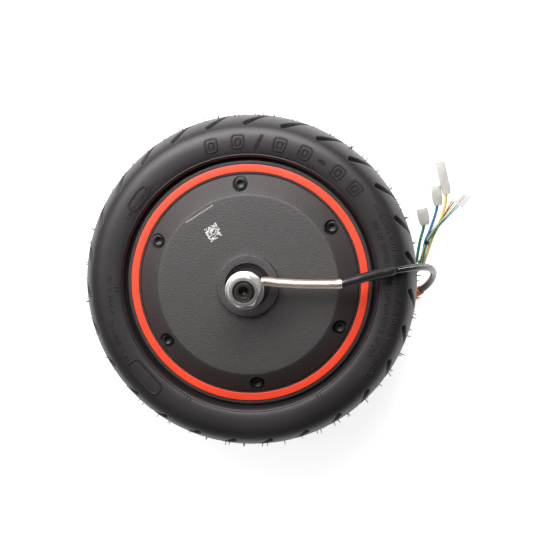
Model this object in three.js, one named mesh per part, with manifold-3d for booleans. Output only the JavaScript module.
// Hub motor wheel: a pneumatic tyre on a drum rim with a brushless motor inside,
// lying on its far side with the cable side up.
// Units are millimetres and +Z is up. The heights below count from the tyre's
// mid-plane; every piece is raised by STAND when it is added, so that z = 0 is
// the face the wheel stands on.
import * as THREE from "three";
import { mergeVertices } from "three/addons/utils/BufferGeometryUtils.js";
import Module from "manifold-3d";

const wasm = await Module();
wasm.setup();

// ---- driving dimensions ----
const STAND = 56;             // standing face to tyre mid-plane
const ROUND = 36;             // sides of the large round pieces
const SMALL_ROUND = 24;       // sides of bearings, seals and axle
const TYRE_RADIUS = 125;
const TYRE_HALF_WIDTH = 30;
const BEAD_SEAT_RADIUS = 82.5;
const RIM_LIP_RADIUS = 91.4;
const RIM_LIP_HEIGHT = 20.2;
const DRUM_BORE_RADIUS = 71.5;
const DRUM_END_HEIGHT = 18.0;
const RING_INNER_RADIUS = 83.0;
const RING_OUTER_RADIUS = 88.5;
const COVER_RADIUS = 81.0;
const COVER_DISC_HEIGHT = 34.0;
const BOSS_RADIUS = 23.0;
const BOSS_HEIGHT = 38.0;
const SEAL_POCKET_RADIUS = 16.6;
const SCREW_COUNT = 6;
const SCREW_CIRCLE_RADIUS = 74.5;
const SCREW_ANGLE = 34.8;     // degrees, first screw
const COUNTERBORE_RADIUS = 5.65;
const COUNTERBORE_HEIGHT = 21.5;
const VALVE_CIRCLE_RADIUS = 77.0;
const VALVE_ANGLE = 244.8;    // degrees, far side
const STATOR_RADIUS = 64.0;
const STATOR_HALF_LENGTH = 12.0;
const TOOTH_COUNT = 27;
const MAGNET_COUNT = 30;
const BEARING_HEIGHT = 29.3;  // middle of each ball bearing
const BEARING_PITCH_RADIUS = 13.0;
const BALL_RADIUS = 2.38;
const BALL_COUNT = 8;
const AXLE_TOP = 76.0;
const AXLE_THREAD_RADIUS = 7.0;
const AXLE_BEARING_RADIUS = 8.3;
const AXLE_CORE_RADIUS = 10.0;
const SEAT_TOP = 57.0;        // shoulder a dropout rests on, cable side
const SEAT_FAR = -38.8;       // the same shoulder, far side
const FLAT_HALF = 6.0;        // half the distance across the axle flats
const NUT_TOP_FACE = 65.3;    // flange face of the cable side nut
const NUT_FAR_FACE = -46.0;   // flange face of the far side nut
const NUT_FLANGE_RADIUS = 14.05;
const NUT_HALF_FLATS = 10.5;
const JACKET_RADIUS = 2.75;
const GUARD_RADIUS = 3.6;
const SHRINK_RADIUS = 3.7;
const SLEEVE_BORE_RADIUS = 3.35;
const WIRE_RADIUS = 1.25;
const HALL_RADIUS = 1.5;

const rad = Math.PI / 180;
const wheel = new THREE.Group();
wheel.name = "hub_motor_wheel";

const looks = {
  tyre: [0x1d1c1c, 0.75, 0.0],
  powder: [0x2b2a2a, 0.6, 0.2],
  accent: [0xd8402a, 0.5, 0.0],
  nut: [0xc9c6c2, 0.3, 1.0],
  dark_steel: [0x26241f, 0.4, 0.9],
  core_steel: [0x77797c, 0.5, 0.9],
  aluminium: [0xb4b6b8, 0.4, 0.9],
  magnet: [0xa8a9ad, 0.25, 1.0],
  copper: [0xa8582c, 0.35, 0.9],
  rubber: [0x181818, 0.7, 0.0],
  board: [0x1e5a34, 0.5, 0.0],
  bearing: [0xc4c6c9, 0.2, 1.0],
  guard: [0xc2b4a6, 0.35, 1.0],
  orange: [0xe0702a, 0.5, 0.0],
  green: [0x3f9a6a, 0.4, 0.0],
  blue: [0x2f86c4, 0.4, 0.0],
  yellow: [0xe0c83a, 0.4, 0.0],
  grey: [0xb8b4a8, 0.5, 0.0],
  sleeve: [0xe6e6e2, 0.3, 0.0],
  white: [0xf0efea, 0.5, 0.0],
  brass: [0xc9a65a, 0.3, 1.0],
};

// ---- helpers ----

// Turns a closed three.js geometry into a solid facing outwards.
function solidOf(geometry) {
  const bare = geometry.index ? geometry.toNonIndexed() : geometry.clone();
  bare.deleteAttribute("normal");
  bare.deleteAttribute("uv");
  const merged = mergeVertices(bare, 1e-4);
  const p = merged.attributes.position.array;
  const all = merged.index.array;
  const kept = [];
  let volume = 0;
  for (let i = 0; i < all.length; i += 3) {
    const a = all[i];
    const b = all[i + 1];
    const c = all[i + 2];
    if (a === b || b === c || a === c) continue;
    kept.push(a, b, c);
    const [ax, ay, az] = [p[3 * a], p[3 * a + 1], p[3 * a + 2]];
    const [bx, by, bz] = [p[3 * b], p[3 * b + 1], p[3 * b + 2]];
    const [cx, cy, cz] = [p[3 * c], p[3 * c + 1], p[3 * c + 2]];
    volume += ax * (by * cz - bz * cy) - ay * (bx * cz - bz * cx) + az * (bx * cy - by * cx);
  }
  if (volume < 0) {
    for (let i = 0; i < kept.length; i += 3) {
      [kept[i], kept[i + 1]] = [kept[i + 1], kept[i]];
    }
  }
  return new wasm.Manifold(new wasm.Mesh({
    numProp: 3,
    vertProperties: new Float32Array(p),
    triVerts: new Uint32Array(kept),
  }));
}

function addPart(name, solid, look) {
  const mesh = solid.getMesh();
  const geometry = new THREE.BufferGeometry();
  geometry.setAttribute("position", new THREE.BufferAttribute(new Float32Array(mesh.vertProperties), 3));
  geometry.setIndex(new THREE.BufferAttribute(new Uint32Array(mesh.triVerts), 1));
  geometry.translate(0, 0, STAND);
  geometry.computeVertexNormals();
  const [color, roughness, metalness] = looks[look];
  const material = new THREE.MeshStandardMaterial({ color, roughness, metalness, flatShading: true });
  if (look === "sleeve") {
    material.transparent = true;
    material.opacity = 0.6;
  }
  const node = new THREE.Mesh(geometry, material);
  node.name = name;
  wheel.add(node);
}

// A ring or disc turned about Z from [radius, height] points.
function turned(points, sides = ROUND) {
  const profile = points.map(([r, z]) => new THREE.Vector2(r, z));
  const touchesAxis = points[0][0] === 0 && points[points.length - 1][0] === 0;
  if (!touchesAxis) profile.push(profile[0].clone());
  const geometry = new THREE.LatheGeometry(profile, sides);
  geometry.rotateX(Math.PI / 2);
  return solidOf(geometry);
}

function mirrored(points) {
  return points.map(([r, z]) => [r, -z]).reverse();
}

function prism(shape, low, high) {
  const geometry = new THREE.ExtrudeGeometry(shape, { depth: high - low, bevelEnabled: false, steps: 1 });
  geometry.translate(0, 0, low);
  return solidOf(geometry);
}

function polygon(points) {
  return new THREE.Shape(points.map(([x, y]) => new THREE.Vector2(x, y)));
}

function circlePoints(radius, sides, phase = 0) {
  const points = [];
  for (let i = 0; i < sides; i += 1) {
    const angle = phase + (i / sides) * 2 * Math.PI;
    points.push([radius * Math.cos(angle), radius * Math.sin(angle)]);
  }
  return points;
}

function rod(x, y, radius, low, high, sides = 16) {
  const points = circlePoints(radius, sides).map(([px, py]) => [x + px, y + py]);
  return prism(polygon(points), low, high);
}

function box(low, high) {
  const shape = polygon([[low[0], low[1]], [high[0], low[1]], [high[0], high[1]], [low[0], high[1]]]);
  return prism(shape, low[2], high[2]);
}

function curveThrough(points) {
  return new THREE.CatmullRomCurve3(points.map((p) => new THREE.Vector3(...p)), false, "centripetal");
}

// A round tube along a route; with an inner radius it is hollow from end to end.
function tube(points, radius, sides, steps, inner = 0) {
  const shape = polygon(circlePoints(radius, sides));
  if (inner > 0) {
    const hole = circlePoints(inner, sides).reverse();
    shape.holes.push(new THREE.Path(hole.map(([x, y]) => new THREE.Vector2(x, y))));
  }
  const geometry = new THREE.ExtrudeGeometry(shape, {
    steps,
    bevelEnabled: false,
    extrudePath: curveThrough(points),
  });
  return solidOf(geometry);
}

// ---- tyre, rim and accent rings ----
const tyreOuter = [
  [84.9, 16.7], [91.0, 16.7], [92.8, 19.0], [93.7, 25.0], [96.4, 28.5],
  [107.0, TYRE_HALF_WIDTH], [114.2, 28.5], [120.6, 21.8], [124.0, 11.0],
];
const tyreInner = [
  [117.2, 12.0], [109.5, 23.2], [98.0, 23.0],
  [90.5, 13.4], [86.5, 11.6], [82.9, 11.6], [82.9, 15.2],
];
const tyreHalf = [[TYRE_RADIUS, 0], ...[...tyreOuter].reverse()];
const tyreProfile = [
  ...tyreHalf,
  ...[...tyreInner].reverse(),
  [119.2, 0],
  ...tyreInner.map(([r, z]) => [r, -z]),
  ...tyreOuter.map(([r, z]) => [r, -z]),
];
addPart("tyre", turned(tyreProfile), "tyre");

const rimHalf = [
  [DRUM_BORE_RADIUS, DRUM_END_HEIGHT],
  [81.4, DRUM_END_HEIGHT],
  [81.4, RIM_LIP_HEIGHT],
  [RIM_LIP_RADIUS - 0.6, RIM_LIP_HEIGHT],
  [RIM_LIP_RADIUS, RIM_LIP_HEIGHT - 0.7],
  [RIM_LIP_RADIUS - 0.5, 17.0],
  [84.6, 17.0],
  [BEAD_SEAT_RADIUS, 15.4],
  [BEAD_SEAT_RADIUS, 9.5],
  [78.5, 7.0],
];
let rim = turned([...rimHalf, ...rimHalf.map(([r, z]) => [r, -z]).reverse()]);

function coverProfile() {
  return [
    [COVER_RADIUS, 18.7], [COVER_RADIUS, 21.6], [79.6, 22.9],
    [66.4, COVER_DISC_HEIGHT], [BOSS_RADIUS, COVER_DISC_HEIGHT], [BOSS_RADIUS, BOSS_HEIGHT - 0.8],
    [BOSS_RADIUS - 0.8, BOSS_HEIGHT], [SEAL_POCKET_RADIUS, BOSS_HEIGHT],
    [SEAL_POCKET_RADIUS, 34.6], [17.8, 34.6],
    [17.8, 23.8], [21.2, 23.8], [21.2, 30.2], [62.5, 30.2], [67.8, 26.0], [67.8, 15.2],
    [71.1, 15.2], [71.1, 18.7],
  ];
}
let coverTop = turned(coverProfile());
let coverFar = turned(mirrored(coverProfile()));

function gasket(low, high) {
  return turned([[77.2, low], [80.7, low], [80.7, high], [77.2, high]]);
}
const gasketTop = gasket(18.1, 18.6);
let gasketFar = gasket(-18.6, -18.1);

// ---- cover screws, six on each side ----
for (let i = 0; i < SCREW_COUNT; i += 1) {
  const angle = (SCREW_ANGLE + (360 / SCREW_COUNT) * i) * rad;
  const x = SCREW_CIRCLE_RADIUS * Math.cos(angle);
  const y = SCREW_CIRCLE_RADIUS * Math.sin(angle);
  rim = rim.subtract(rod(x, y, 2.1, 8, 19, 8)).subtract(rod(x, y, 2.1, -19, -8, 8));
  coverTop = coverTop.subtract(rod(x, y, COUNTERBORE_RADIUS, COUNTERBORE_HEIGHT, 40, 14));
  coverTop = coverTop.subtract(rod(x, y, 2.3, 18, 22, 8));
  coverFar = coverFar.subtract(rod(x, y, COUNTERBORE_RADIUS, -40, -COUNTERBORE_HEIGHT, 14));
  coverFar = coverFar.subtract(rod(x, y, 2.3, -22, -18, 8));
  const seat = COUNTERBORE_HEIGHT + 0.1;
  const screw = rod(x, y, 1.8, 9, seat + 0.5, 8)
    .add(rod(x, y, 4.25, seat, seat + 3.0, 12))
    .subtract(rod(x, y, 2.2, seat + 1.0, seat + 4, 6));
  addPart(`cover_screw_cable_side_${i + 1}`, screw, "dark_steel");
  const farScrew = rod(x, y, 1.8, -seat - 0.5, -9, 8)
    .add(rod(x, y, 4.25, -seat - 3.0, -seat, 12))
    .subtract(rod(x, y, 2.2, -seat - 4, -seat - 1.0, 6));
  addPart(`cover_screw_far_side_${i + 1}`, farScrew, "dark_steel");
}

// ---- tyre valve, through the far side cover into the rim's well ----
const valveX = VALVE_CIRCLE_RADIUS * Math.cos(VALVE_ANGLE * rad);
const valveY = VALVE_CIRCLE_RADIUS * Math.sin(VALVE_ANGLE * rad);
rim = rim.subtract(rod(valveX, valveY, 2.9, -19, -5, 10));
coverFar = coverFar.subtract(rod(valveX, valveY, 3.1, -40, -18, 10));
gasketFar = gasketFar.subtract(rod(valveX, valveY, 3.1, -20, -17, 10));
const valve = rod(valveX, valveY, 2.5, -38, -6, 12).subtract(rod(valveX, valveY, 1.2, -39, -5, 8));
addPart("valve_stem", valve, "brass");
const cap = rod(valveX, valveY, 3.9, -42.5, -31, 12).subtract(rod(valveX, valveY, 2.8, -41, -30, 12));
addPart("valve_cap", cap, "rubber");

addPart("rim", rim, "powder");
addPart("cover_cable_side", coverTop, "powder");
addPart("cover_far_side", coverFar, "powder");
addPart("cover_gasket_cable_side", gasketTop, "rubber");
addPart("cover_gasket_far_side", gasketFar, "rubber");

function accentRing(low, high) {
  return turned([
    [RING_INNER_RADIUS, low], [RING_OUTER_RADIUS, low],
    [RING_OUTER_RADIUS, high], [RING_INNER_RADIUS, high],
  ]);
}
addPart("accent_ring_cable_side", accentRing(20.3, 21.1), "accent");
addPart("accent_ring_far_side", accentRing(-21.1, -20.3), "accent");

// ---- rotor magnets and flux ring ----
const fluxRing = turned([[67.6, -13.5], [71.1, -13.5], [71.1, 13.5], [67.6, 13.5]]);
addPart("flux_ring", fluxRing, "core_steel");

const magnetShape = polygon(circlePoints(67.2, ROUND));
const magnetInner = [];
for (let i = 0; i < MAGNET_COUNT; i += 1) {
  const middle = (i / MAGNET_COUNT) * 360;
  for (const [offset, radius] of [[-5.6, 66.6], [-5.1, 64.9], [5.1, 64.9], [5.6, 66.6]]) {
    const angle = (middle + offset) * rad;
    magnetInner.push(new THREE.Vector2(radius * Math.cos(angle), radius * Math.sin(angle)));
  }
}
magnetShape.holes.push(new THREE.Path(magnetInner.reverse()));
addPart("magnet_set", prism(magnetShape, -12.5, 12.5), "magnet");

// ---- stator ----
const hubProfile = [
  [10.3, -14], [16, -14], [16, -4], [33.5, -4], [33.5, -11.5], [38, -11.5],
  [38, 11.5], [33.5, 11.5], [33.5, 4], [16, 4], [16, 14], [10.3, 14],
];
addPart("stator_hub", turned(hubProfile, SMALL_ROUND), "aluminium");

const toothStep = 360 / TOOTH_COUNT;
const corePoints = [];
function polar(radius, degrees) {
  return [radius * Math.cos(degrees * rad), radius * Math.sin(degrees * rad)];
}
for (let i = 0; i < TOOTH_COUNT; i += 1) {
  const middle = i * toothStep;
  const root = Math.asin(2.8 / 45) / rad;
  const neck = Math.asin(2.8 / 61) / rad;
  corePoints.push(polar(45, middle - root), polar(61, middle - neck));
  corePoints.push(polar(STATOR_RADIUS, middle - 5.7), polar(STATOR_RADIUS, middle + 5.7));
  corePoints.push(polar(61, middle + neck), polar(45, middle + root));
}
const coreShape = polygon(corePoints);
const coreBore = circlePoints(38.4, SMALL_ROUND).reverse();
coreShape.holes.push(new THREE.Path(coreBore.map(([x, y]) => new THREE.Vector2(x, y))));
addPart("stator_core", prism(coreShape, -STATOR_HALF_LENGTH, STATOR_HALF_LENGTH), "core_steel");

let winding = turned([[48, 15.2], [53, 15.2], [53, 17.4], [48, 17.4]], TOOTH_COUNT);
for (let i = 0; i < TOOTH_COUNT; i += 1) {
  const outer = box([46.2, -4.9, -16], [60.2, 4.9, 16]);
  const inner = box([45, -3.1, -12.3], [62, 3.1, 12.3]);
  const coil = outer.subtract(inner).rotate([0, 0, i * toothStep]);
  winding = winding.add(coil);
}
addPart("stator_winding", winding, "copper");

const boardPoints = [];
for (let i = 0; i <= 6; i += 1) boardPoints.push(polar(61, 150 + i * 10));
for (let i = 6; i >= 0; i -= 1) boardPoints.push(polar(54.5, 150 + i * 10));
addPart("hall_sensor_board", prism(polygon(boardPoints), 16.3, 17.9), "board");

// ---- ball bearings and shaft seals ----
function bearing(side, height) {
  const at = (points) => points.map(([r, z]) => [r, z + height]);
  const innerRing = [
    [8.6, -5], [11.2, -5], [11.2, -1.9], [10.4, -0.8],
    [10.4, 0.8], [11.2, 1.9], [11.2, 5], [8.6, 5],
  ];
  const outerRing = [
    [14.8, -5], [17.5, -5], [17.5, 5], [14.8, 5],
    [14.8, 1.95], [15.7, 0.8], [15.7, -0.8], [14.8, -1.95],
  ];
  addPart(`bearing_inner_ring_${side}`, turned(at(innerRing), SMALL_ROUND), "bearing");
  addPart(`bearing_outer_ring_${side}`, turned(at(outerRing), SMALL_ROUND), "bearing");
  let cage = turned(at([[12.2, -1.4], [13.8, -1.4], [13.8, 1.4], [12.2, 1.4]]), SMALL_ROUND);
  for (let i = 0; i < BALL_COUNT; i += 1) {
    const [x, y] = polar(BEARING_PITCH_RADIUS, (360 / BALL_COUNT) * i);
    const ball = new THREE.OctahedronGeometry(BALL_RADIUS, 1);
    ball.translate(x, y, height);
    cage = cage.add(solidOf(ball));
  }
  addPart(`ball_cage_${side}`, cage, "bearing");
}
bearing("cable_side", BEARING_HEIGHT);
bearing("far_side", -BEARING_HEIGHT);

const sealProfile = [[8.6, 35.0], [16.3, 35.0], [16.3, 36.3], [9.2, 36.3], [8.6, 35.7]];
addPart("shaft_seal_cable_side", turned(sealProfile, SMALL_ROUND), "rubber");
addPart("shaft_seal_far_side", turned(mirrored(sealProfile), SMALL_ROUND), "rubber");

// ---- cable route: from the stator through the hollow axle, out over the tyre and down ----
const cableInside = [
  [13.6, 0, 19.4], [9.0, 0, 19.4], [4.2, 0, 20.6], [0.9, 0, 24.4], [0, 0, 30], [0, 0, 38],
  [1.5, 0.5, 44.2], [5.6, 2.2, 48.6],
];
const cableOutside = [
  [12, 4.7, 50], [25, 3.8, 50], [39.6, 3.1, 50], [53, 3.0, 50], [67.4, 3.3, 49],
  [78, 5.6, 46], [88, 8.2, 42.4], [98, 10.2, 38.6], [107, 11.7, 35.2], [115, 12.8, 31.4],
  [122.5, 13.1, 25], [129, 12.5, 15.5], [134, 10.6, 4], [137, 7.4, -8], [138, 3.0, -19.5],
  [137, -2.3, -30.5], [133.8, -7.8, -39.5], [128.8, -12.6, -46], [122.8, -16.4, -49.6],
];
const cableRoute = [...cableInside, ...cableOutside];
addPart("cable_jacket", tube(cableRoute, JACKET_RADIUS, 8, 40), "rubber");
const cableBore = tube([[16, 0, 19.4], ...cableRoute.slice(0, 13)], 3.4, 8, 30);


// Points on the cable's centreline between two distances from its inner end.
const cableCurve = curveThrough(cableRoute);
const cableLength = cableCurve.getLength();
function alongCable(from, to, pieces) {
  const points = [];
  for (let i = 0; i <= pieces; i += 1) {
    const distance = from + ((to - from) * i) / pieces;
    points.push(cableCurve.getPointAt(distance / cableLength).toArray());
  }
  return points;
}

// The distance along the cable at which it first passes a given x, going outwards.
function distanceAtX(x) {
  for (let d = 30; d < cableLength; d += 0.1) {
    if (cableCurve.getPointAt(d / cableLength).x > x) return d;
  }
  return cableLength;
}

const grommetStart = distanceAtX(9.0);
const guardStart = distanceAtX(13.4);
const guardEnd = distanceAtX(67.4);
const shrinkEnd = distanceAtX(106.4);
const grommet = tube(alongCable(grommetStart, guardStart - 1.8, 1), 4.6, 10, 1, SLEEVE_BORE_RADIUS);
addPart("cable_grommet", grommet, "rubber");
const guard = tube(alongCable(guardStart, guardEnd, 10), GUARD_RADIUS, 8, 10, SLEEVE_BORE_RADIUS);
addPart("spring_guard", guard, "guard");
const shrink = tube(alongCable(guardEnd + 1.2, shrinkEnd, 7), SHRINK_RADIUS, 8, 7, SLEEVE_BORE_RADIUS);
addPart("shrink_sleeve", shrink, "rubber");
const endRoute = alongCable(cableLength - 7.5, cableLength, 2);
const lastStep = [0, 1, 2].map((k) => endRoute[2][k] + (endRoute[2][k] - endRoute[1][k]) * 0.35);
const endSleeve = tube([...endRoute, lastStep], SHRINK_RADIUS, 8, 3, SLEEVE_BORE_RADIUS);
addPart("jacket_end_sleeve", endSleeve, "orange");

// ---- motor leads: a shared bundle that turns back under the tyre, then fans out ----
const bundleRoute = [
  [120.4, -17.7, -50.4], [118.2, -18.8, -51.0], [115.6, -19.7, -51.7], [112, -19.8, -52.7],
  [107.8, -17.8, -53.7], [105.2, -14, -54.3], [104.9, -9.4, -54.5], [107, -5.2, -54.5],
  [110.9, -2.2, -54.5], [115.6, -0.2, -54.5], [120.4, 1.6, -54.5], [124.9, 4.2, -54.5],
  [128.4, 7.8, -54.5],
];
const leads = {
  green: {
    start: [-1.95, 0],
    lane: [-3, 0],
    fan: [[127.0, 14.5, -54.5], [127.9, 20.3, -54.5], [129.3, 27.8, -54.5], [131.2, 34.5, -54.5],
      [132.1, 41.0, -53.3]],
    tip: [129.9, 51.5, -53.3],
  },
  blue: {
    start: [0, -1.95],
    lane: [0, 0],
    fan: [[130.6, 13.5, -54.5], [132.0, 19.5, -54.5], [133.4, 26.5, -54.5], [136.4, 33.5, -54.5],
      [139.2, 42.0, -54.5], [141.3, 49.5, -54.3], [142.3, 56.5, -53.3]],
    tip: [140.5, 69.1, -53.3],
  },
  yellow: {
    start: [1.95, 0],
    lane: [3, 0],
    fan: [[133.2, 12.0, -54.5], [135.2, 18.0, -54.5], [137.2, 24.2, -54.5], [140.0, 31.5, -54.5],
      [143.8, 39.8, -54.5], [146.9, 48.9, -54.5], [148.6, 57.2, -54.3], [149.0, 65.3, -53.3]],
    tip: [143.6, 88.0, -53.3],
  },
};

// Moves the bundle's points sideways and up to one lead's own place in it.
function laneRoute(start, lane) {
  return bundleRoute.map((p, i) => {
    const before = bundleRoute[Math.max(i - 1, 0)];
    const after = bundleRoute[Math.min(i + 1, bundleRoute.length - 1)];
    const dx = after[0] - before[0];
    const dy = after[1] - before[1];
    const length = Math.hypot(dx, dy);
    const t = Math.min(i / 5, 1);
    const side = start[0] + (lane[0] - start[0]) * t;
    const lift = start[1] + (lane[1] - start[1]) * t;
    return [p[0] + (dy / length) * side, p[1] - (dx / length) * side, p[2] + lift];
  });
}

// A flattened hollow sleeve from the lead's end to its tip, with its terminal inside.
function orient(solid, from, to) {
  const direction = new THREE.Vector3(...to).sub(new THREE.Vector3(...from)).normalize();
  const side = new THREE.Vector3(0, 0, 1).cross(direction).normalize();
  const up = direction.clone().cross(side);
  return solid.transform([
    side.x, side.y, side.z, 0,
    up.x, up.y, up.z, 0,
    direction.x, direction.y, direction.z, 0,
    from[0], from[1], from[2], 1,
  ]);
}

function flatOval(halfWidth, halfHeight) {
  return circlePoints(1, 12).map(([x, y]) => [halfWidth * x, halfHeight * Math.sign(y) * Math.abs(y) ** 0.7]);
}

for (const [colour, lead] of Object.entries(leads)) {
  const route = [...laneRoute(lead.start, lead.lane), ...lead.fan];
  addPart(`phase_wire_${colour}`, tube(route, WIRE_RADIUS, 8, 24), colour);
  const from = lead.fan[lead.fan.length - 1];
  const length = new THREE.Vector3(...from).distanceTo(new THREE.Vector3(...lead.tip));
  const shell = polygon(flatOval(3.6, 2.6));
  const hollow = flatOval(3.0, 2.0).reverse();
  shell.holes.push(new THREE.Path(hollow.map(([x, y]) => new THREE.Vector2(x, y))));
  const back = [...from];
  addPart(`phase_sleeve_${colour}`, orient(prism(shell, -2.5, length), back, lead.tip), "sleeve");
  const crimp = box([-1.5, -1.3, 0.7], [1.5, 1.3, 5.0]);
  const blade = box([-2.4, -0.9, 4.5], [2.4, 0.9, length - 1.5]);
  addPart(`phase_terminal_${colour}`, orient(crimp.add(blade), back, lead.tip), "brass");
}

const hallFan = [
  [130.9, 13.6, -51.4], [132.4, 19.6, -51.4], [134.8, 26.5, -51.4], [138.8, 33.0, -51.4],
  [144.2, 40.0, -51.5], [149.9, 47.3, -52.3], [154.2, 53.0, -53.4], [156.3, 55.8, -53.4],
];
const hallRoute = [...laneRoute([0, 1.95], [0, 2.95]), ...hallFan];
addPart("hall_lead", tube(hallRoute, HALL_RADIUS, 8, 26), "grey");

let housing = box([-6.0, -2.4, 0.3], [6.0, 2.4, 11.5]).add(box([-1.6, 2.0, 2.0], [1.6, 3.0, 9.0]));
for (let i = 0; i < 5; i += 1) {
  const x = (i - 2) * 2.1;
  housing = housing.subtract(box([x - 0.7, -1.0, 3.0], [x + 0.7, 1.0, 12]));
}
addPart("hall_connector", orient(housing, hallFan[7], [163.6, 65.0, -53.2]), "white");

// ---- axle and its nuts ----
const axleProfile = [
  [0, -STAND], [6.2, -STAND], [AXLE_THREAD_RADIUS, -55.2], [AXLE_THREAD_RADIUS, SEAT_FAR],
  [AXLE_BEARING_RADIUS, SEAT_FAR], [AXLE_BEARING_RADIUS, -24.0], [AXLE_CORE_RADIUS, -24.0],
  [AXLE_CORE_RADIUS, 24.0], [AXLE_BEARING_RADIUS, 24.0], [AXLE_BEARING_RADIUS, SEAT_TOP],
  [AXLE_THREAD_RADIUS, SEAT_TOP], [AXLE_THREAD_RADIUS, AXLE_TOP - 0.8], [6.2, AXLE_TOP], [0, AXLE_TOP],
];
let axle = turned(axleProfile, SMALL_ROUND);
axle = axle.subtract(cableBore);
axle = axle.subtract(rod(0, 0, 3.2, AXLE_TOP - 9, AXLE_TOP + 1, 16));
axle = axle.subtract(rod(0, 0, 2.0, -STAND - 1, -STAND + 7, 12));
for (const side of [-1, 1]) {
  const near = Math.min(side * FLAT_HALF, side * 9);
  const far = Math.max(side * FLAT_HALF, side * 9);
  axle = axle.subtract(box([-9, near, SEAT_TOP], [9, far, NUT_TOP_FACE - 0.3]));
  axle = axle.subtract(box([-9, near, NUT_FAR_FACE + 0.3], [9, far, SEAT_FAR]));
}
addPart("axle", axle, "dark_steel");

function flangeNut(face, end) {
  const up = Math.sign(end - face);
  const at = (points) => {
    const moved = points.map(([r, z]) => [r, face + up * z]);
    return up > 0 ? moved : moved.reverse();
  };
  const height = Math.abs(end - face);
  const flange = turned(at([[0, 0], [NUT_FLANGE_RADIUS, 0], [NUT_FLANGE_RADIUS, 1.6], [12.4, 2.8], [0, 2.8]]), SMALL_ROUND);
  const corner = NUT_HALF_FLATS / Math.cos(Math.PI / 6);
  const hexagon = polygon(circlePoints(corner, 6));
  const hex = prism(hexagon, Math.min(face + up * 1, end), Math.max(face + up * 1, end));
  const chamfer = turned(at([[0, 0], [14, 0], [14, height - 2.0], [11.0, height], [0, height]]), SMALL_ROUND);
  const bore = rod(0, 0, 7.3, Math.min(face, end) - 1, Math.max(face, end) + 1, SMALL_ROUND);
  return flange.add(hex.intersect(chamfer)).subtract(bore);
}
addPart("axle_nut_cable_side", flangeNut(NUT_TOP_FACE, 75.2), "nut");
addPart("axle_nut_far_side", flangeNut(NUT_FAR_FACE, -STAND), "nut");

export default wheel;
